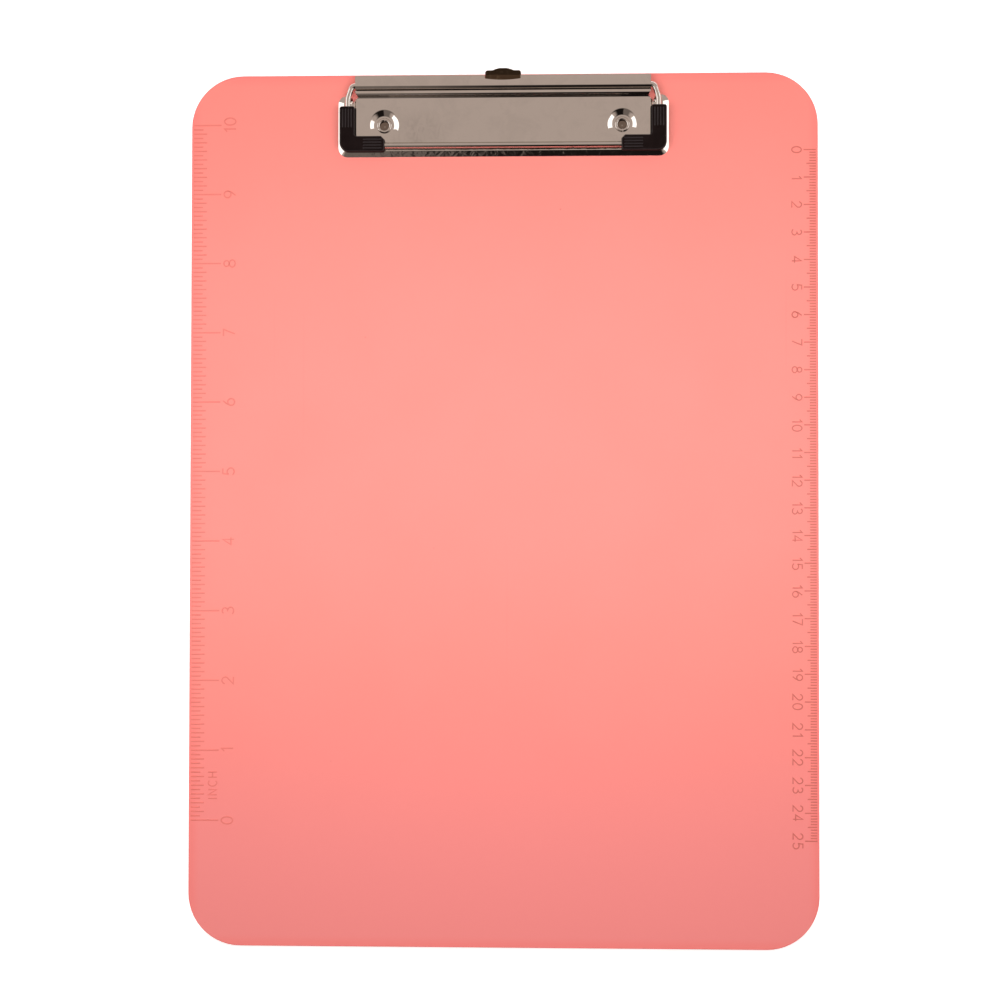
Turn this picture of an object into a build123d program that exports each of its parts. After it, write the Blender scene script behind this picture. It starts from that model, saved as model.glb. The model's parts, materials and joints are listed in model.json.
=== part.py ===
from build123d import *

import os
from math import atan2, cos, degrees, hypot, radians, sin

# Clipboard with a low-profile wire clip and a retractable hanging hook, in millimetres.
# The board lies on its back: X across, +Y towards the clip, +Z up out of the writing face.
# The origin is the middle of the board's back. A setback is a distance in from the board's
# clip-end edge, and a clip height is counted from the board's writing face.

# ---- Board ----
board_width = 228.6
board_length = 317.5
board_thick = 2.5
board_corner = 19.0
board_edge_round = 0.4

# ---- Clip base: one steel stamping ----
sheet = 0.6
base_half_width = 60.3
base_front = 30.2
base_corner = 3.5
flange_height = 1.1
rim_run = 2.05
ear_radius = 3.0
ear_setback = 10.75
plateau_height = 1.8
plateau_half_width = 54.7
plateau_front = 26.2
plateau_rear = 9.4
plateau_corner = 4.2
plateau_wall_run = 1.0
plateau_edge_round = 0.4
notch_tip_offset = 52.9
notch_tip_setback = 8.6
notch_front = 10.4
notch_rear = 6.2
notch_outer = 55.0

# ---- Hinge: the wire turns in the lever's curl, and the curl turns in the base's trough ----
hinge_setback = 4.7
hinge_height = 3.2
wire_radius = 1.0
wire_play = 0.05
curl_play = 0.2
hinge_half_length = 53.75
crest_height = 4.55
crest_width = 1.3
crest_fold_radius = 0.34
crest_front_round = 0.72
neck_round = 1.0
trough_wrap = 150.0

# ---- Lever ----
lever_rear = 1.3
lever_corner = 0.5
curl_wrap = 240.0
thumb_notch_width = 13.0
thumb_notch_depth = 1.3
thumb_notch_bow = 0.5
thumb_notch_corner = 0.3

# ---- Wire bail ----
arm_offset = 56.6
arm_bend_setback = 9.3
elbow_offset = 55.0
elbow_radius = 1.6
arm_bend_radius = 6.0
bar_setback = 26.4
bar_corner = 3.2
bar_gap = 0.45
wire_tail = 34.0
wire_end_round = 0.3

# ---- Rubber grips, moulded over the bail's front corners ----
grip_outer = 59.5
grip_leg_width = 5.6
grip_foot_width = 5.7
grip_rear = 12.2
grip_front = 28.8
grip_end = 43.1
grip_above_wire = 1.85
grip_below_wire = 1.25
grip_corner = 3.4
grip_elbow_round = 0.7
grip_end_round = 0.9
grip_end_chamfer = 1.3
grip_edge_round = 0.7
grip_clearance = 0.15
groove_count = 4
groove_length = 6.8
groove_width = 0.46
groove_depth = 0.17
groove_taper = 50.0
groove_pitch = 1.05
groove_inset = 1.0

# ---- Semi-tubular rivets, clinched in dimples of the base ----
rivet_offset = 43.4
rivet_setback = 18.8
shank_radius = 2.0
shank_play = 0.05
rivet_bore = 1.65
rivet_bore_floor = 1.2
rivet_lip_radius = 2.85
rivet_lip_height = 0.65
rivet_head_radius = 4.0
rivet_head_thick = 0.7
rivet_head_round = 0.25
recess_radius = 4.3
recess_depth = 0.8
split_width = 0.3
split_floor = 0.15
split_angles = (35.0, 155.0, 275.0)
dimple_radius = 6.2
dimple_wall_top = 5.7
dimple_wall_foot = 3.6
dimple_round = 1.8

# ---- Retractable hanging hook ----
hook_thick = 0.6
hook_lift = 0.05
hook_strip_width = 9.0
hook_tab_width = 13.1
hook_tab_corner = 0.9
hook_tab_setback = 2.6
hook_bend_setback = 0.4
hook_bend_radius = 0.9
hook_stop_fold = 0.5
hook_shoulder = 1.15
hook_tip = 2.0
hook_hump_width = 7.6
hook_tilt = 22.0
hook_stop_width = 14.0
hook_stop_setback = 16.8
hook_end_setback = 19.25
hook_stop_rise = 1.05
nail_hole_setback = 5.4
nail_hole_radius = 2.25

# ---- Worked out from the above ----
face = board_thick
hinge_z = face + hinge_height
curl_inner = wire_radius + wire_play
curl_middle = curl_inner + sheet / 2
curl_outer = curl_inner + sheet
trough_inner = curl_outer + curl_play
trough_middle = trough_inner + sheet / 2
bar_z = face + flange_height + wire_radius + bar_gap
sides = {"left": -1, "right": 1}


def from_edge(setback):
    """Y of a place that is set back from the board's clip-end edge."""
    return board_length / 2 - setback


hinge_y = from_edge(hinge_setback)
rivet_y = from_edge(rivet_setback)


# ---- Board: one sheet with rounded corners and a recess behind each rivet ----
with BuildPart() as board:
    with BuildSketch():
        RectangleRounded(board_width, board_length, board_corner)
    extrude(amount=board_thick)
    fillet(board.faces().filter_by(Axis.Z).edges(), board_edge_round)
    with Locations(
        Location((-rivet_offset, rivet_y, 0), (180, 0, 0)),
        Location((rivet_offset, rivet_y, 0), (180, 0, 0)),
    ):
        CounterBoreHole(shank_radius + shank_play, recess_radius, recess_depth, 2 * board_thick)

# ---- Clip base: flange with a sloping rim and two ears, plateau, dimples, crest and trough ----
rim_taper = degrees(atan2(rim_run, flange_height))
rim_inset = sheet / cos(radians(rim_taper))
wall_rise = plateau_height - flange_height
wall_taper = degrees(atan2(plateau_wall_run, wall_rise))
wall_inset = sheet / cos(radians(wall_taper))
wall_foot_spread = flange_height * plateau_wall_run / wall_rise
flange_rear = ear_setback - 2 * base_corner
plateau_back = plateau_rear - 2 * plateau_corner
crest_front = hinge_y - trough_middle - crest_width
sheet_middle = face + plateau_height - sheet / 2


def plan(half_width, front, rear, corner, bottom):
    """Rounded rectangle at height bottom, from its front setback back to its rear one."""
    with BuildSketch(Plane.XY.offset(bottom)) as outline:
        with Locations((0, from_edge((front + rear) / 2))):
            RectangleRounded(2 * half_width, front - rear, corner)
    return outline.sketch


flange_plan = plan(base_half_width, base_front, flange_rear, base_corner, face)
flange_hollow_plan = plan(
    base_half_width - rim_inset,
    base_front - rim_inset,
    ear_setback + rim_inset,
    base_corner - rim_inset,
    face,
)
plateau_plan = plan(
    plateau_half_width, plateau_front, plateau_back, plateau_corner, face + flange_height
)
plateau_hollow_plan = plan(
    plateau_half_width + wall_foot_spread - wall_inset,
    plateau_front + wall_foot_spread - wall_inset,
    plateau_back,
    plateau_corner,
    face,
)
grip_clearance_plan = plan(
    plateau_half_width + grip_clearance,
    plateau_front + grip_clearance,
    plateau_back,
    plateau_corner,
    face,
)


with BuildPart() as base_plate:
    # Flange, then the ears that round off its rear ends
    extrude(flange_plan, amount=flange_height, taper=rim_taper)
    split(bisect_by=Plane((0, from_edge(ear_setback), 0), z_dir=(0, 1, 0)), keep=Keep.BOTTOM)
    with Locations(
        (ear_radius - base_half_width, from_edge(ear_setback), face),
        (base_half_width - ear_radius, from_edge(ear_setback), face),
    ):
        Cone(
            ear_radius,
            ear_radius - rim_run,
            flange_height,
            align=(Align.CENTER, Align.CENTER, Align.MIN),
        )
    # Plateau
    extrude(plateau_plan, amount=wall_rise, taper=wall_taper)
    plateau_top = base_plate.faces().sort_by(Axis.Z)[-1]
    fillet(plateau_top.edges(), plateau_edge_round)
    # The hollow underneath, one sheet's thickness inside
    extrude(
        flange_hollow_plan, amount=flange_height - sheet, taper=rim_taper, mode=Mode.SUBTRACT
    )
    extrude(
        plateau_hollow_plan, amount=plateau_height - sheet, taper=wall_taper, mode=Mode.SUBTRACT
    )
    # Everything behind the plateau gives way to the bent strip of the crest and trough
    with BuildSketch(Plane.XY.offset(face)):
        with Locations((0, from_edge(plateau_rear))):
            Rectangle(
                2 * (plateau_half_width + 0.1),
                2 * plateau_rear,
                align=(Align.CENTER, Align.MIN),
            )
    extrude(amount=2 * plateau_height, mode=Mode.SUBTRACT)
    with BuildSketch(Plane.YZ):
        with BuildLine():
            FilletPolyline(
                (from_edge(plateau_rear), sheet_middle),
                (crest_front, sheet_middle),
                (crest_front, face + crest_height - sheet / 2),
                (hinge_y - trough_middle, face + crest_height - sheet / 2),
                (hinge_y - trough_middle, hinge_z),
                radius=[neck_round, crest_front_round, crest_fold_radius],
            )
            CenterArc((hinge_y, hinge_z), trough_middle, 180, trough_wrap)
        trace(line_width=sheet)
    extrude(amount=hinge_half_length, both=True)
    # Notches that let the wire's arms down between the neck and the ears
    with BuildSketch(Plane.XY.offset(face)):
        for side in sides.values():
            with BuildLine():
                Polyline(
                    (side * (hinge_half_length + sheet), from_edge(notch_rear)),
                    (side * notch_tip_offset, from_edge(notch_tip_setback)),
                    (side * (notch_tip_offset + notch_front - notch_tip_setback), from_edge(notch_front)),
                    (side * notch_outer, from_edge(notch_front)),
                    (side * notch_outer, from_edge(notch_rear)),
                    close=True,
                )
            make_face()
    extrude(amount=2 * crest_height, mode=Mode.SUBTRACT)
    # Dimples, pressed down to the board for the rivets
    with BuildSketch(Plane.XY.offset(face)):
        with Locations((-rivet_offset, rivet_y), (rivet_offset, rivet_y)):
            Circle(dimple_radius)
    extrude(amount=2 * plateau_height, mode=Mode.SUBTRACT)
    for side in sides.values():
        dimple_axis = Axis((side * rivet_offset, rivet_y, 0), (0, 0, 1))
        with BuildSketch(Plane(dimple_axis.position, x_dir=(1, 0, 0), z_dir=(0, -1, 0))):
            with BuildLine():
                FilletPolyline(
                    (dimple_radius, sheet_middle),
                    (dimple_wall_top, sheet_middle),
                    (dimple_wall_foot, face + sheet / 2),
                    (shank_radius + shank_play, face + sheet / 2),
                    radius=dimple_round,
                )
            trace(line_width=sheet)
        revolve(axis=dimple_axis)

# ---- Lever: a flat plate whose front edge curls round the wire ----
with BuildPart() as lever_plate:
    with BuildSketch(Plane.YZ):
        with BuildLine():
            Line((from_edge(lever_rear), hinge_z + curl_middle), (hinge_y, hinge_z + curl_middle))
            CenterArc((hinge_y, hinge_z), curl_middle, 90, curl_wrap)
        trace(line_width=sheet)
    extrude(amount=hinge_half_length, both=True)
    rear_corners = lever_plate.faces().sort_by(Axis.Y)[-1].edges().filter_by(Axis.Z)
    fillet(rear_corners, lever_corner)
    with BuildSketch(Plane.XY.offset(hinge_z)):
        with BuildLine():
            Polyline(
                (thumb_notch_width / 2, from_edge(lever_rear + thumb_notch_depth)),
                (thumb_notch_width / 2, from_edge(lever_rear - thumb_notch_depth)),
                (-thumb_notch_width / 2, from_edge(lever_rear - thumb_notch_depth)),
                (-thumb_notch_width / 2, from_edge(lever_rear + thumb_notch_depth)),
            )
            ThreePointArc(
                (-thumb_notch_width / 2, from_edge(lever_rear + thumb_notch_depth)),
                (0, from_edge(lever_rear + thumb_notch_depth + thumb_notch_bow)),
                (thumb_notch_width / 2, from_edge(lever_rear + thumb_notch_depth)),
            )
        make_face()
        fillet(vertices().group_by(Axis.Y)[0], thumb_notch_corner)
    extrude(amount=2 * curl_outer, mode=Mode.SUBTRACT)

# ---- Wire bail: one length of spring wire, bent in a plane that holds the hinge axis ----
arm_drop = hinge_z - bar_z
arm_reach = bar_setback - hinge_setback
arm_length = hypot(arm_reach, arm_drop)
arm_slope = atan2(arm_drop, arm_reach)
bail_plane = Plane(
    (0, hinge_y, hinge_z), x_dir=(1, 0, 0), z_dir=(0, sin(arm_slope), -cos(arm_slope))
)
arm_bend_reach = arm_bend_setback - hinge_setback

with BuildPart() as wire_bail:
    with BuildLine(bail_plane) as bail_path:
        FilletPolyline(
            (-wire_tail, 0),
            (-elbow_offset, 0),
            (-arm_offset, arm_bend_reach),
            (-arm_offset, arm_length),
            (arm_offset, arm_length),
            (arm_offset, arm_bend_reach),
            (elbow_offset, 0),
            (wire_tail, 0),
            radius=[elbow_radius, arm_bend_radius, bar_corner, bar_corner, arm_bend_radius, elbow_radius],
        )
    with BuildSketch(bail_path.line ^ 0):
        Circle(wire_radius)
    sweep()
    fillet(wire_bail.faces().filter_by(GeomType.PLANE).edges(), wire_end_round)

# ---- Rubber grips: an L over each front corner of the wire, lapping the plateau's edge ----
grips = {}
for name, side in sides.items():
    inner = grip_outer - grip_leg_width
    leg_middle = side * (grip_outer - grip_leg_width / 2)
    front = grip_front - hinge_setback
    rear = grip_rear - hinge_setback
    foot_middle = side * (grip_outer + grip_end) / 2
    with BuildPart() as grip:
        with BuildSketch(bail_plane.offset(-grip_above_wire)):
            with Locations((leg_middle, (front + rear) / 2)):
                Rectangle(grip_leg_width, front - rear)
            with Locations((foot_middle, front - grip_foot_width / 2)):
                Rectangle(grip_outer - grip_end, grip_foot_width)
            fillet(vertices().sort_by_distance((side * grip_outer, front))[0], grip_corner)
            elbow = vertices().sort_by_distance((side * inner, front - grip_foot_width))[0]
            fillet(elbow, grip_elbow_round)
            fillet(vertices().group_by(Axis.Y)[0], grip_end_round)
            foot_end = vertices().sort_by_distance((side * grip_end, front - grip_foot_width))[0]
            chamfer(foot_end, grip_end_chamfer)
            fillet(vertices().sort_by_distance((side * grip_end, front))[0], grip_end_round)
        extrude(amount=grip_above_wire + grip_below_wire)
        fillet(grip.faces().sort_by(Axis.Z)[-1].edges(), grip_edge_round)
        # Lengthwise V grooves near each leg's end
        with BuildSketch(bail_plane.offset(-grip_above_wire)):
            with Locations((leg_middle, rear + groove_inset + groove_length / 2)):
                with GridLocations(groove_pitch, 0, groove_count, 1):
                    SlotOverall(groove_length, groove_width, rotation=90)
            with Locations(
                (side * (grip_end + groove_inset + groove_length / 2), front - grip_foot_width / 2)
            ):
                with GridLocations(0, groove_pitch, 1, groove_count):
                    SlotOverall(groove_length, groove_width)
        extrude(amount=groove_depth, taper=groove_taper, mode=Mode.SUBTRACT)
        # Room for the plateau's edge, and the wire's own channel
        extrude(
            grip_clearance_plan, amount=plateau_height + grip_clearance, mode=Mode.SUBTRACT
        )
        add(wire_bail.part, mode=Mode.SUBTRACT)
    grips[name] = grip

# ---- Rivets: head recessed in the board's back, split lip rolled over in the dimple ----
rivets = {}
head_bottom = recess_depth - rivet_head_thick
lip_bottom = face + sheet
for name, side in sides.items():
    rivet_axis = Axis((side * rivet_offset, rivet_y, 0), (0, 0, 1))
    with BuildPart() as rivet:
        with BuildSketch(Plane(rivet_axis.position, x_dir=(1, 0, 0), z_dir=(0, -1, 0))):
            with BuildLine():
                Polyline(
                    (rivet_bore, lip_bottom + rivet_lip_height / 2),
                    (rivet_bore, rivet_bore_floor),
                    (0, rivet_bore_floor - sheet / 2),
                    (0, head_bottom),
                    (rivet_head_radius, head_bottom),
                    (rivet_head_radius, recess_depth),
                    (shank_radius, recess_depth),
                    (shank_radius, lip_bottom),
                    (rivet_lip_radius, lip_bottom),
                )
                ThreePointArc(
                    (rivet_lip_radius, lip_bottom),
                    ((rivet_bore + rivet_lip_radius) / 2, lip_bottom + rivet_lip_height),
                    (rivet_bore, lip_bottom + rivet_lip_height / 2),
                )
            make_face()
        revolve(axis=rivet_axis)
        fillet(rivet.edges().filter_by(GeomType.CIRCLE).sort_by(Axis.Z)[0], rivet_head_round)
        for angle in split_angles:
            split_foot = (side * rivet_offset, rivet_y, lip_bottom + split_floor)
            with Locations(Location(split_foot, (0, 0, side * angle))):
                Box(
                    2 * rivet_lip_radius,
                    split_width,
                    2 * rivet_lip_height,
                    align=(Align.MIN, Align.CENTER, Align.MIN),
                    mode=Mode.SUBTRACT,
                )
    rivets[name] = rivet

# ---- Hanging hook: a flat strip under the trough, with a nail hole, a turned-up tab that shows,
# ---- and a turned-up stop at its hidden end that meets the trough when the hook is pulled out ----
hook_middle = face + hook_lift + hook_thick / 2
tab_rise = (hook_bend_setback + hook_tip) * sin(radians(hook_tilt)) / cos(radians(hook_tilt))
with BuildPart() as hang_hook:
    with BuildSketch(Plane.YZ):
        with BuildLine():
            FilletPolyline(
                (from_edge(hook_end_setback - hook_thick / 2), hook_middle + hook_stop_rise - hook_thick / 2),
                (from_edge(hook_end_setback - hook_thick / 2), hook_middle),
                (from_edge(hook_bend_setback), hook_middle),
                (from_edge(-hook_tip), hook_middle + tab_rise),
                radius=[hook_stop_fold, hook_bend_radius],
            )
        trace(line_width=hook_thick)
    extrude(amount=hook_stop_width / 2, both=True)
    with BuildSketch(Plane.XY.offset(face)):
        with Locations((0, from_edge((hook_end_setback + hook_stop_setback) / 2))):
            Rectangle(hook_stop_width, hook_end_setback - hook_stop_setback)
        with Locations((0, from_edge((hook_stop_setback + hook_tab_setback) / 2))):
            Rectangle(hook_strip_width, hook_stop_setback - hook_tab_setback)
        with Locations((0, from_edge((hook_tab_setback - hook_shoulder) / 2))):
            RectangleRounded(hook_tab_width, hook_tab_setback + hook_shoulder, hook_tab_corner)
        with BuildLine():
            ThreePointArc(
                (-hook_hump_width / 2, from_edge(-hook_shoulder)),
                (0, from_edge(-hook_tip)),
                (hook_hump_width / 2, from_edge(-hook_shoulder)),
            )
            Line(
                (hook_hump_width / 2, from_edge(-hook_shoulder)),
                (-hook_hump_width / 2, from_edge(-hook_shoulder)),
            )
        make_face()
        with Locations((0, from_edge(nail_hole_setback))):
            Circle(nail_hole_radius, mode=Mode.SUBTRACT)
    extrude(amount=2 * crest_height, mode=Mode.INTERSECT)

# ---- Labels and files ----
os.makedirs("parts", exist_ok=True)
board.part.label = "board"
export_step(board.part, "parts/board.step")
base_plate.part.label = "base_plate"
export_step(base_plate.part, "parts/base_plate.step")
lever_plate.part.label = "lever_plate"
export_step(lever_plate.part, "parts/lever_plate.step")
wire_bail.part.label = "wire_bail"
export_step(wire_bail.part, "parts/wire_bail.step")
grips["left"].part.label = "grip_left"
export_step(grips["left"].part, "parts/grip_left.step")
grips["right"].part.label = "grip_right"
export_step(grips["right"].part, "parts/grip_right.step")
rivets["left"].part.label = "rivet_left"
export_step(rivets["left"].part, "parts/rivet_left.step")
rivets["right"].part.label = "rivet_right"
export_step(rivets["right"].part, "parts/rivet_right.step")
hang_hook.part.label = "hang_hook"
export_step(hang_hook.part, "parts/hang_hook.step")
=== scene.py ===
import json
import math

import bpy
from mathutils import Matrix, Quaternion, Vector


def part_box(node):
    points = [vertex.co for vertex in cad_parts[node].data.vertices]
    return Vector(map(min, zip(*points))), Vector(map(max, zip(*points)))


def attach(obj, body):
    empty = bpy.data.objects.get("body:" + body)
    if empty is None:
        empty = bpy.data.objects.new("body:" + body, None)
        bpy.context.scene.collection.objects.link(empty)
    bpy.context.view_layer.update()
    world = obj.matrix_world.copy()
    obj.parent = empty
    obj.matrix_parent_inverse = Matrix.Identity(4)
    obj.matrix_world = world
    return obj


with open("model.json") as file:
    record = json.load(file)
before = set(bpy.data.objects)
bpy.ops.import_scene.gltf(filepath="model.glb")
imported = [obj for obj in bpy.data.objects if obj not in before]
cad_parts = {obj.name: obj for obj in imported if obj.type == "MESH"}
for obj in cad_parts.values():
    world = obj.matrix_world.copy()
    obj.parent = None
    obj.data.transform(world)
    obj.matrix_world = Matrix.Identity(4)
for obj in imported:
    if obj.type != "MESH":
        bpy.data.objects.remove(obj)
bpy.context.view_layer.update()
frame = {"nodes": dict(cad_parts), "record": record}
MM = 0.001

# The board's box places everything: its top is the writing face, +Y its clip end.
board_low, board_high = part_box("board")
face_z = board_high.z
clip_low, clip_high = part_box("base_plate")


# ---------------------------------------------------------------- node helpers
class Shader:
    """A node material built round one Principled shader."""

    def __init__(self, name):
        self.material = bpy.data.materials.new(name)
        self.material.use_nodes = True
        self.tree = self.material.node_tree
        self.bsdf = self.tree.nodes["Principled BSDF"]
        self.place = self.add("ShaderNodeTexCoord").outputs["Object"]

    def add(self, kind, **settings):
        node = self.tree.nodes.new(kind)
        for key, value in settings.items():
            setattr(node, key, value)
        return node

    def link(self, source, target):
        if isinstance(source, bpy.types.NodeSocket):
            self.tree.links.new(source, target)
        else:
            target.default_value = source

    def set(self, **values):
        """Constants set directly on the shader's own sockets."""
        for key, value in values.items():
            self.bsdf.inputs[key.replace("_", " ")].default_value = value

    def stretched(self, scale):
        """The object's own coordinates in metres, scaled by a vector."""
        node = self.add("ShaderNodeMapping")
        self.link(self.place, node.inputs["Vector"])
        node.inputs["Scale"].default_value = scale
        return node.outputs["Vector"]

    def noise(self, scale, detail=2.0, rough=0.5, distortion=0.0):
        """Cloudy noise with about scale features per metre, one number or one for each axis."""
        vector = self.stretched(scale if hasattr(scale, "__len__") else (scale,) * 3)
        node = self.add("ShaderNodeTexNoise")
        self.link(vector, node.inputs["Vector"])
        node.inputs["Scale"].default_value = 1.0
        node.inputs["Detail"].default_value = detail
        node.inputs["Roughness"].default_value = rough
        node.inputs["Distortion"].default_value = distortion
        return node.outputs["Fac"]

    def remap(self, value, low, high, out_low, out_high):
        """Carries low..high smoothly to out_low..out_high, and holds the ends beyond."""
        node = self.add("ShaderNodeMapRange", interpolation_type="SMOOTHSTEP")
        for key, number in zip(
            ("Value", "From Min", "From Max", "To Min", "To Max"),
            (value, low, high, out_low, out_high),
        ):
            self.link(number, node.inputs[key])
        return node.outputs["Result"]

    def math(self, operation, a, b=0.0):
        """One arithmetic step on sockets or plain numbers."""
        node = self.add("ShaderNodeMath", operation=operation)
        self.link(a, node.inputs[0])
        self.link(b, node.inputs[1])
        return node.outputs["Value"]

    def mix(self, factor, a, b):
        """Colour a at factor 0 and colour b at factor 1."""
        node = self.add("ShaderNodeMix", data_type="RGBA")
        self.link(factor, node.inputs["Factor"])
        self.link(a, node.inputs["A"])
        self.link(b, node.inputs["B"])
        return node.outputs["Result"]

    def bump(self, height, distance, normal=None):
        """Relief whose height of 1 stands distance metres out of the surface."""
        node = self.add("ShaderNodeBump")
        self.link(height, node.inputs["Height"])
        node.inputs["Distance"].default_value = distance
        node.inputs["Strength"].default_value = 1.0
        if normal is not None:
            self.link(normal, node.inputs["Normal"])
        return node.outputs["Normal"]

    def split(self, vector):
        """A vector's three parts."""
        node = self.add("ShaderNodeSeparateXYZ")
        self.link(vector, node.inputs["Vector"])
        return node.outputs["X"], node.outputs["Y"], node.outputs["Z"]

    def facing_up(self):
        """How flat the surface lies on its own piece: 1 on either broad face, 0 on a wall."""
        turned = self.add("ShaderNodeVectorTransform", vector_type="NORMAL")
        turned.convert_from, turned.convert_to = "WORLD", "OBJECT"
        self.link(self.add("ShaderNodeNewGeometry").outputs["True Normal"], turned.inputs["Vector"])
        return self.math("ABSOLUTE", self.split(turned.outputs["Vector"])[2])


# ------------------------------------------------------------------- materials
def darker(colour, share):
    """The colour's red, green and blue times share, with its alpha at 1."""
    return tuple(c * share for c in colour[:3]) + (1.0,)


CORAL = (0.930, 0.253, 0.220, 1.0)
CORAL_DEEP = (0.830, 0.108, 0.104, 1.0)
CORAL_EDGE = (0.900, 0.200, 0.186, 1.0)
CORAL_SPECK = (0.45, 0.10, 0.07, 1.0)
# Painted shade for the board's foot
CORAL_FOOT_SHADE = (0.880, 0.256, 0.250, 1.0)
INCH_MARK = (0.768, 0.187, 0.151, 1.0)
CM_MARK = (0.568, 0.132, 0.101, 1.0)
MARK_SHARE = 0.8
EDGE_BAND = 4.5 * MM
board_length = board_high.y - board_low.y
FOOT_WHOLE = board_low.y + 0.06 * board_length
FOOT_GONE = board_low.y + 0.36 * board_length

NICKEL_SHEET = (0.700, 0.655, 0.615)
NICKEL_WIRE = (0.680, 0.645, 0.610)
BORE_SHADE = (0.24, 0.19, 0.155, 1.0)
BORE_MOUTH = 0.7 * MM
BORE_FLOOR = (0.8 * MM, 1.0 * MM)
RIM_WIDTH = 4.2 * MM
RIM_DEPTH = 2.6 * MM
RIM_BLEND = 0.8 * MM
THUMB_CENTRE = (clip_low.x + 30.5 * MM, clip_low.y + 7.0 * MM, clip_high.z)
THUMB_INNER = 3.0 * MM
THUMB_OUTER = 13.0 * MM

RUBBER = (0.0055, 0.0022, 0.0022, 1.0)
RUBBER_BLOOM = (0.0085, 0.0040, 0.0040, 1.0)
RUBBER_SHEEN = (0.062, 0.054, 0.057, 1.0)
BRONZE = (0.085, 0.052, 0.030, 1.0)
BRONZE_WORN = (0.20, 0.14, 0.09, 1.0)


def coral_plastic(name, mark=None):
    """Moulded coral plastic. mark is the deeper colour of a raised scale, and None on the board."""
    s = Shader(name)
    cloud = s.noise(14.0, detail=3.0)
    mottle = s.remap(cloud, 0.3, 0.7, 0.0, 1.0)
    plain = s.mix(mottle, CORAL, darker(CORAL, 0.985))
    # Painted shade: the board is a little pinker towards its foot, as less light falls there
    x, y, _ = s.split(s.place)
    foot = s.remap(y, FOOT_WHOLE, FOOT_GONE, 1.0, 0.0)
    plain = s.mix(foot, plain, CORAL_FOOT_SHADE)
    # Painted shade: the outer few millimetres are darker, as if they let less light back out, and
    # the rounded rim darkest of all
    inset_x = s.math("SUBTRACT", board_high.x, s.math("ABSOLUTE", x))
    inset_y = s.math("SUBTRACT", board_high.y, s.math("ABSOLUTE", y))
    inset = s.math("MINIMUM", inset_x, inset_y)
    near_edge = s.remap(inset, 0.0, EDGE_BAND, 0.55, 0.0)
    colour = s.mix(near_edge, plain, CORAL_EDGE)
    wall = s.remap(s.facing_up(), 0.35, 0.97, 1.0, 0.0)
    colour = s.mix(wall, colour, CORAL_DEEP)
    # Dust specks pressed into the surface: a few cells of a sparse cell pattern
    cells = s.add("ShaderNodeTexVoronoi")
    s.link(s.stretched((85.0, 85.0, 85.0)), cells.inputs["Vector"])
    cells.inputs["Scale"].default_value = 1.0
    dot = s.remap(cells.outputs["Distance"], 0.014, 0.040, 1.0, 0.0)
    chance = s.remap(s.split(cells.outputs["Color"])[0], 0.60, 0.98, 0.0, 0.7)
    colour = s.mix(s.math("MULTIPLY", dot, chance), colour, CORAL_SPECK)
    # Hairline scratches along the board
    hair = s.noise((900.0, 5.0, 5.0), detail=1.0)
    hair = s.remap(hair, 0.66, 0.76, 0.0, 1.0)
    patch = s.remap(s.noise(11.0, detail=1.0), 0.52, 0.68, 0.0, 1.0)
    hair = s.math("MULTIPLY", hair, patch)
    colour = s.mix(s.math("MULTIPLY", hair, 0.05), colour, CORAL_DEEP)
    if mark:
        colour = s.mix(MARK_SHARE, colour, mark)
    s.link(colour, s.bsdf.inputs["Base Color"])
    rough = s.remap(s.noise(35.0, detail=4.0), 0.3, 0.7, 0.21, 0.26)
    s.link(rough, s.bsdf.inputs["Roughness"])
    peel = s.bump(s.noise(420.0, detail=2.0), 8e-7)
    s.link(s.bump(hair, 3e-6, normal=peel), s.bsdf.inputs["Normal"])
    s.set(IOR=1.55)
    return s.material


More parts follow.
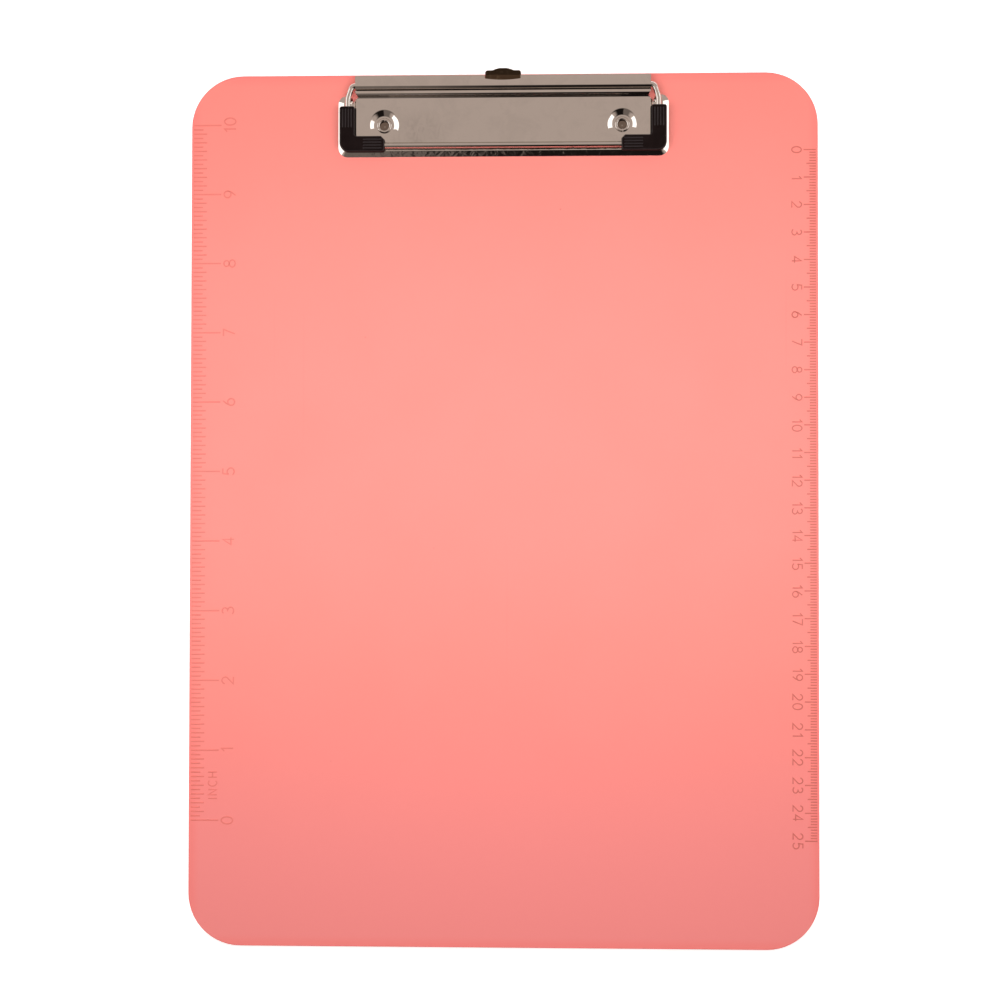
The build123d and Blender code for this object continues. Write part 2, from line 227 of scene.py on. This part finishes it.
def nickel(name, tint, rough, wave, draw, wrinkle=0.0, bore=False):
    """Bright nickel plate. wave is the sheet's unevenness, draw the direction of its fine lines.

    wrinkle is the height of the small ripples that pressing leaves on the base's outer rim, which
    also brings a thumb smudge, and bore paints shade on what lies between the board's two faces.
    """
    s = Shader(name)
    haze = s.noise(120.0, detail=4.0, rough=0.6, distortion=0.6)
    lines = s.noise(draw, detail=2.0)
    colour = s.mix(s.remap(haze, 0.42, 0.68, 0.0, 1.0), darker(tint, 1.0), darker(tint, 0.95))
    if bore:
        # Painted shade inside the rivet's bore, between the board's two faces
        depth = s.split(s.place)[2]
        above_floor = s.remap(depth, BORE_FLOOR[0], BORE_FLOOR[1], 0.0, 1.0)
        below_mouth = s.remap(depth, face_z, face_z + BORE_MOUTH, 1.0, 0.0)
        colour = s.mix(s.math("MULTIPLY", above_floor, below_mouth), colour, BORE_SHADE)
    if wrinkle:
        # A thumb smudge on the left of the plateau
        away = s.add("ShaderNodeVectorMath", operation="DISTANCE")
        s.link(s.place, away.inputs[0])
        away.inputs[1].default_value = THUMB_CENTRE
        thumb = s.remap(away.outputs["Value"], THUMB_INNER, THUMB_OUTER, 1.0, 0.0)
        streaks = s.noise((300.0, 190.0, 300.0), detail=2.0, distortion=1.2)
        streaks = s.remap(streaks, 0.35, 0.65, 0.35, 1.0)
        colour = s.mix(s.math("MULTIPLY", thumb, streaks), colour, darker(tint, 0.84))
    s.link(colour, s.bsdf.inputs["Base Color"])
    lined = s.remap(lines, 0.35, 0.7, rough * 0.8, rough * 1.25)
    hazed = s.remap(haze, 0.55, 0.75, 0.0, rough * 0.6)
    s.link(s.math("ADD", lined, hazed), s.bsdf.inputs["Roughness"])
    normal = s.bump(lines, 5e-8)
    if wrinkle:
        x, y, _ = s.split(s.place)
        across = s.math("SUBTRACT", s.math("ABSOLUTE", x), clip_high.x - RIM_WIDTH)
        down = s.math("SUBTRACT", clip_low.y + RIM_DEPTH, y)
        rim = s.remap(s.math("MAXIMUM", across, down), 0.0, RIM_BLEND, 0.0, 1.0)
        ripple = s.noise((330.0, 330.0, 330.0), detail=2.0, distortion=0.8)
        normal = s.bump(s.math("MULTIPLY", ripple, rim), wrinkle, normal=normal)
    s.link(s.bump(s.noise(45.0, detail=1.0), wave, normal=normal), s.bsdf.inputs["Normal"])
    s.set(Metallic=1.0)
    return s.material


def black_rubber(name):
    """Matt black rubber, a little lighter along its grooves and rolled edges by a painted
    highlight.
    """
    s = Shader(name)
    grain = s.noise(2600.0, detail=3.0, rough=0.6)
    bloom = s.remap(s.noise(260.0, detail=3.0), 0.4, 0.75, 0.0, 1.0)
    colour = s.mix(bloom, RUBBER, RUBBER_BLOOM)
    # Painted highlight on faces that slope part way, such as groove sides and rolled edges
    flatness = s.facing_up()
    not_flat = s.remap(flatness, 0.82, 0.90, 1.0, 0.0)
    not_steep = s.remap(flatness, 0.62, 0.72, 0.0, 1.0)
    painted_sheen = s.math("MULTIPLY", not_flat, not_steep)
    colour = s.mix(s.math("MULTIPLY", painted_sheen, 0.55), colour, RUBBER_SHEEN)
    s.link(colour, s.bsdf.inputs["Base Color"])
    s.link(s.remap(grain, 0.3, 0.7, 0.34, 0.46), s.bsdf.inputs["Roughness"])
    s.link(s.bump(grain, 3e-6), s.bsdf.inputs["Normal"])
    s.set(Specular_IOR_Level=0.09)
    return s.material


def dark_bronze(name):
    """Darkened steel whose edges and high spots are worn to a warmer metal."""
    s = Shader(name)
    worn = s.remap(s.noise(380.0, detail=4.0, rough=0.65), 0.5, 0.72, 0.0, 1.0)
    edge = s.remap(s.facing_up(), 0.5, 0.9, 0.6, 0.0)
    amount = s.math("MAXIMUM", s.math("MULTIPLY", worn, 0.5), edge)
    s.link(s.mix(amount, BRONZE, BRONZE_WORN), s.bsdf.inputs["Base Color"])
    s.link(s.remap(worn, 0.0, 1.0, 0.28, 0.42), s.bsdf.inputs["Roughness"])
    s.link(s.bump(s.noise(900.0, detail=2.0), 4e-6), s.bsdf.inputs["Normal"])
    s.set(Metallic=0.9)
    return s.material


ALONG_X = (90.0, 2600.0, 2600.0)
ALONG_WIRE = (120.0, 120.0, 2400.0)
ALL_WAYS = (1500.0, 1500.0, 1500.0)
looks = {
    "board_plastic": coral_plastic("board_plastic"),
    "plated_sheet": nickel("plated_sheet", NICKEL_SHEET, 0.07, 5e-6, ALONG_X, wrinkle=6e-5),
    "plated_wire": nickel("plated_wire", NICKEL_WIRE, 0.08, 3e-6, ALONG_WIRE),
    "rivet_steel": nickel("rivet_steel", NICKEL_SHEET, 0.12, 4e-6, ALL_WAYS, bore=True),
    "grip_rubber": black_rubber("grip_rubber"),
    "dark_steel": dark_bronze("dark_steel"),
}
for part in frame["record"]["subparts"]:
    node = frame["nodes"][part["node"]]
    node.data.materials.clear()
    node.data.materials.append(looks[part["material_slot"]])


# ------------------------------------------------- the board's raised scales
STROKE = 0.46 * MM
RELIEF = 0.14 * MM
ROOT = 0.03 * MM
THIN_STROKE = 0.40 * MM
SHOULDER = 0.45 * RELIEF
# A bead's section, from one foot over its top to the other: across in stroke widths, up in metres
BEAD = (
    (-0.5, -ROOT),
    (-0.5, SHOULDER),
    (-0.28, RELIEF),
    (0.28, RELIEF),
    (0.5, SHOULDER),
    (0.5, -ROOT),
)


class Relief:
    """Collects flat-topped beads with sloping sides along strokes drawn on the writing face."""

    def __init__(self):
        self.points = []
        self.faces = []

    def bead(self, path, closed=False, width=STROKE):
        """One bead along path, mitred at its corners, with flat ends unless it is closed."""
        path = [Vector(p) for p in path]
        count, first, rows = len(path), len(self.points), len(BEAD)
        for i, here in enumerate(path):
            steps = []
            if i or closed:
                steps.append((here - path[i - 1]).normalized())
            if i + 1 < count or closed:
                steps.append((path[(i + 1) % count] - here).normalized())
            along = sum(steps, Vector((0.0, 0.0))).normalized()
            side = Vector((-along.y, along.x))
            stretch = 1.0 / max(0.5, side.dot(Vector((-steps[0].y, steps[0].x))))
            for across, height in BEAD:
                spot = here + side * (across * width * stretch)
                self.points.append((spot.x, spot.y, face_z + height))
        for i in range(count if closed else count - 1):
            a, b = first + i * rows, first + (i + 1) % count * rows
            for k in range(rows):
                n = (k + 1) % rows
                self.faces.append((a + k, b + k, b + n, a + n))
        if not closed:
            self.faces.append(tuple(first + k for k in range(rows)))
            last = first + (count - 1) * rows
            self.faces.append(tuple(last + k for k in reversed(range(rows))))

    def build(self, name, material):
        """Makes the beads one mesh piece that rides on the board."""
        mesh = bpy.data.meshes.new(name)
        mesh.from_pydata(self.points, [], self.faces)
        mesh.validate()
        mesh.materials.append(material)
        piece = bpy.data.objects.new(name, mesh)
        bpy.context.scene.collection.objects.link(piece)
        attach(piece, "board")
        return piece


def arc(cx, cy, rx, ry, start, end):
    """Points on an ellipse's arc, about one every 20 degrees."""
    count = max(2, round(abs(end - start) / 20.0))
    turns = [math.radians(start + (end - start) * i / count) for i in range(count + 1)]
    return [(cx + rx * math.cos(t), cy + ry * math.sin(t)) for t in turns]


def ring(cx, cy, rx, ry):
    """A whole ellipse, for a closed bead."""
    return arc(cx, cy, rx, ry, 0.0, 360.0)[:-1]


# Single-stroke figures in a box 0.62 wide and 1 high: (points, closed)
GLYPHS = {
    "0": [(ring(0.31, 0.5, 0.31, 0.5), True)],
    "1": [([(0.10, 0.76), (0.34, 1.0), (0.34, 0.0)], False)],
    "2": [(arc(0.30, 0.70, 0.29, 0.30, 170.0, -38.0) + [(0.0, 0.0), (0.61, 0.0)], False)],
    "3": [
        (
            arc(0.29, 0.76, 0.26, 0.24, 150.0, -90.0)
            + arc(0.29, 0.26, 0.31, 0.26, 90.0, -150.0)[1:],
            False,
        ),
    ],
    "4": [([(0.62, 0.27), (0.0, 0.27), (0.45, 1.0), (0.45, 0.0)], False)],
    "5": [
        (
            [(0.56, 1.0), (0.12, 1.0), (0.06, 0.55)]
            + arc(0.29, 0.31, 0.32, 0.31, 130.0, -150.0),
            False,
        ),
    ],
    "6": [(ring(0.31, 0.30, 0.30, 0.30), True), ([(0.03, 0.40), (0.14, 0.66), (0.40, 1.0)], False)],
    "7": [([(0.0, 1.0), (0.60, 1.0), (0.20, 0.0)], False)],
    "8": [(ring(0.31, 0.76, 0.25, 0.24), True), (ring(0.31, 0.26, 0.31, 0.26), True)],
    "9": [(ring(0.31, 0.70, 0.30, 0.30), True), ([(0.59, 0.60), (0.48, 0.34), (0.22, 0.0)], False)],
    "I": [([(0.0, 0.0), (0.0, 1.0)], False)],
    "N": [([(0.0, 0.0), (0.0, 1.0), (0.60, 0.0), (0.60, 1.0)], False)],
    "C": [(arc(0.37, 0.5, 0.37, 0.5, 48.0, 312.0), False)],
    "H": [
        ([(0.0, 0.0), (0.0, 1.0)], False),
        ([(0.60, 0.0), (0.60, 1.0)], False),
        ([(0.0, 0.5), (0.60, 0.5)], False),
    ],
}


def glyph_width(letter):
    """How far the figure reaches across its box."""
    return max(x for path, _ in GLYPHS[letter] for x, _ in path)


def write(relief, text, base_x, middle_y, height, turn, gap=0.34, width=STROKE):
    """Writes text along Y, centred at middle_y, with its foot at base_x.

    turn is UP_BOARD or DOWN_BOARD, the way it reads, and gap is in figure heights.
    """
    total = sum(glyph_width(c) for c in text) + gap * (len(text) - 1)
    pen = -total / 2
    for letter in text:
        for path, closed in GLYPHS[letter]:
            placed = []
            for x, y in path:
                placed.append((base_x - turn * y * height, middle_y + turn * (pen + x) * height))
            relief.bead(placed, closed, width)
        pen += glyph_width(letter) + gap


INCH = 25.4 * MM
INCHES = 10
CENTIMETRES = 25
INCH_ZERO = -113.4 * MM
CM_ZERO = 130.4 * MM
TICK_START = 0.8 * MM
INCH_TICK, EIGHTH_TICK, SIXTEENTH_TICK = 10.9 * MM, 5.6 * MM, 4.2 * MM
CM_TICK, HALF_TICK, MM_TICK = 5.2 * MM, 4.2 * MM, 3.1 * MM
INCH_FIGURE_FOOT, INCH_FIGURE_HEIGHT = 16.2 * MM, 4.2 * MM
UNIT_FOOT, UNIT_MIDDLE, UNIT_HEIGHT = 10.3 * MM, 12.7 * MM, 3.1 * MM
CM_FIGURE_FOOT, CM_FIGURE_HEIGHT = 9.5 * MM, 3.5 * MM
UP_BOARD, DOWN_BOARD = 1, -1
left_edge, right_edge = board_low.x, board_high.x

# Inches run up the left edge
inch_scale = Relief()
for sixteenth in range(16 * INCHES + 1):
    reach = SIXTEENTH_TICK
    if sixteenth % 2 == 0:
        reach = INCH_TICK if sixteenth % 16 == 0 else EIGHTH_TICK
    y = INCH_ZERO + sixteenth * INCH / 16
    inch_scale.bead([(left_edge + TICK_START, y), (left_edge + reach, y)])
for inch in range(INCHES + 1):
    y = INCH_ZERO + inch * INCH
    write(inch_scale, str(inch), left_edge + INCH_FIGURE_FOOT, y, INCH_FIGURE_HEIGHT, UP_BOARD)
unit_x, unit_y = left_edge + UNIT_FOOT, INCH_ZERO + UNIT_MIDDLE
write(inch_scale, "INCH", unit_x, unit_y, UNIT_HEIGHT, UP_BOARD, gap=0.42, width=THIN_STROKE)

# Centimetres run down the right edge
cm_scale = Relief()
for millimetre in range(10 * CENTIMETRES + 1):
    reach = MM_TICK
    if millimetre % 5 == 0:
        reach = CM_TICK if millimetre % 10 == 0 else HALF_TICK
    y = CM_ZERO - millimetre * MM
    cm_scale.bead([(right_edge - TICK_START, y), (right_edge - reach, y)], width=THIN_STROKE)
figure_x = right_edge - CM_FIGURE_FOOT
for centimetre in range(CENTIMETRES + 1):
    y = CM_ZERO - centimetre * 10 * MM
    write(cm_scale, str(centimetre), figure_x, y, CM_FIGURE_HEIGHT, DOWN_BOARD, width=THIN_STROKE)

inch_scale.build("inch_scale", coral_plastic("inch_plastic", INCH_MARK))
cm_scale.build("cm_scale", coral_plastic("cm_plastic", CM_MARK))


# ------------------------------------------------------------- floor and light
WHITE = (1.0, 1.0, 1.0, 1.0)
FLOOR_SIZE = 8.0
FLOOR_GAP = 0.2 * MM
FLOOR_PAINT = (0.80, 0.80, 0.80, 1.0)
FLOOR_GLOW = 0.72
ROOM_DARK = (0.012, 0.009, 0.008, 1.0)
ROOM_GREY = (0.560, 0.466, 0.413, 1.0)
SOFTBOX_PLACE, SOFTBOX_AIM = Vector((1.05, 0.12, 0.62)), (0.0, 0.05, 0.0)
SOFTBOX_SIZE, SOFTBOX_RADIANCE = (1.15, 0.50), 1.5
FILL_PLACE, FILL_AIM = (0.0, 0.04, 0.32), (0.0, 0.04, 0.0)
FILL_SIZE, FILL_RADIANCE = (0.50, 0.22), 3.75


def stage_floor():
    """A plain white floor that glows a little, just under the board."""
    bpy.ops.mesh.primitive_plane_add(size=FLOOR_SIZE, location=(0.0, 0.0, -FLOOR_GAP))
    floor = bpy.context.object
    floor.name = "floor"
    material = bpy.data.materials.new("floor_white")
    material.use_nodes = True
    shader = material.node_tree.nodes["Principled BSDF"]
    shader.inputs["Base Color"].default_value = FLOOR_PAINT
    shader.inputs["Roughness"].default_value = 0.9
    shader.inputs["Specular IOR Level"].default_value = 0.1
    shader.inputs["Emission Color"].default_value = WHITE
    shader.inputs["Emission Strength"].default_value = FLOOR_GLOW
    floor.data.materials.append(material)


def soft_light(name, place, aim, size, radiance, mirrored=True):
    """A rectangular softbox facing aim, with its radiance in watts per square metre per steradian.

    A mirrored one only shows as a reflection; the others only light surfaces evenly.
    """
    light = bpy.data.lights.new(name, "AREA")
    light.shape = "RECTANGLE"
    light.size, light.size_y = size
    light.energy = radiance * math.pi * size[0] * size[1]
    lamp = bpy.data.objects.new(name, light)
    lamp.location = place
    lamp.rotation_euler = (Vector(aim) - Vector(place)).to_track_quat("-Z", "Y").to_euler()
    lamp.visible_camera = False
    lamp.visible_glossy = mirrored
    lamp.visible_diffuse = not mirrored
    bpy.context.scene.collection.objects.link(lamp)


def studio_world():
    """A warm grey room that is dark beyond the board's foot, and a little less so to the left.

    It is plain white where the camera sees past the floor.
    """
    world = bpy.data.worlds.new("studio")
    world.use_nodes = True
    tree = world.node_tree
    new, link = tree.nodes.new, tree.links.new
    split = new("ShaderNodeSeparateXYZ")
    link(new("ShaderNodeTexCoord").outputs["Generated"], split.inputs["Vector"])
    aside = new("ShaderNodeMath")
    aside.operation = "ABSOLUTE"
    link(split.outputs["X"], aside.inputs[0])
    # Each row lightens one side of the dark part: from, to, and the share of grey at each end
    shade = None
    for source, low, high, at_low, at_high in (
        (split.outputs["Y"], -0.45, -0.12, 0.0, 1.0),
        (aside.outputs["Value"], 0.36, 0.62, 0.0, 1.0),
        (split.outputs["X"], -0.095, -0.035, 0.33, 0.0),
    ):
        step = new("ShaderNodeMapRange")
        step.interpolation_type = "SMOOTHSTEP"
        ends = {"From Min": low, "From Max": high, "To Min": at_low, "To Max": at_high}
        for key, value in ends.items():
            step.inputs[key].default_value = value
        link(source, step.inputs["Value"])
        if shade is None:
            shade = step.outputs["Result"]
            continue
        lighter = new("ShaderNodeMath")
        lighter.operation = "MAXIMUM"
        link(shade, lighter.inputs[0])
        link(step.outputs["Result"], lighter.inputs[1])
        shade = lighter.outputs["Value"]
    room = new("ShaderNodeMix")
    room.data_type = "RGBA"
    room.inputs["A"].default_value = ROOM_DARK
    room.inputs["B"].default_value = ROOM_GREY
    link(shade, room.inputs["Factor"])
    seen = new("ShaderNodeMix")
    seen.data_type = "RGBA"
    seen.inputs["B"].default_value = WHITE
    link(new("ShaderNodeLightPath").outputs["Is Camera Ray"], seen.inputs["Factor"])
    link(room.outputs["Result"], seen.inputs["A"])
    link(seen.outputs["Result"], tree.nodes["Background"].inputs["Color"])
    bpy.context.scene.world = world


stage_floor()
studio_world()
for side, name in ((-1, "softbox_left"), (1, "softbox_right")):
    place = (side * SOFTBOX_PLACE.x, SOFTBOX_PLACE.y, SOFTBOX_PLACE.z)
    soft_light(name, place, SOFTBOX_AIM, SOFTBOX_SIZE, SOFTBOX_RADIANCE)
soft_light("fill_top", FILL_PLACE, FILL_AIM, FILL_SIZE, FILL_RADIANCE, mirrored=False)

# ---------------------------------------------------------------------- camera
CAMERA_X, CAMERA_Y = 32.17 * MM, -17.68 * MM
CAMERA_HEIGHT = 800.0 * MM
SENSOR_WIDTH, FOCAL_LENGTH = 36.0, 79.36
# Nearly straight down: the view's small turn, as an axis times degrees
turn = Vector((1.4945, 2.3691, 0.0512))

camera_data = bpy.data.cameras.new("camera")
camera_data.sensor_width = SENSOR_WIDTH
camera_data.lens = FOCAL_LENGTH
camera_data.clip_start, camera_data.clip_end = 0.01, 20.0
camera = bpy.data.objects.new("camera", camera_data)
camera.location = (CAMERA_X, CAMERA_Y, face_z + CAMERA_HEIGHT)
camera.rotation_mode = "QUATERNION"
camera.rotation_quaternion = Quaternion(turn.normalized(), math.radians(turn.length))
bpy.context.scene.collection.objects.link(camera)
bpy.context.scene.camera = camera
bpy.context.scene.view_settings.view_transform = "Standard"
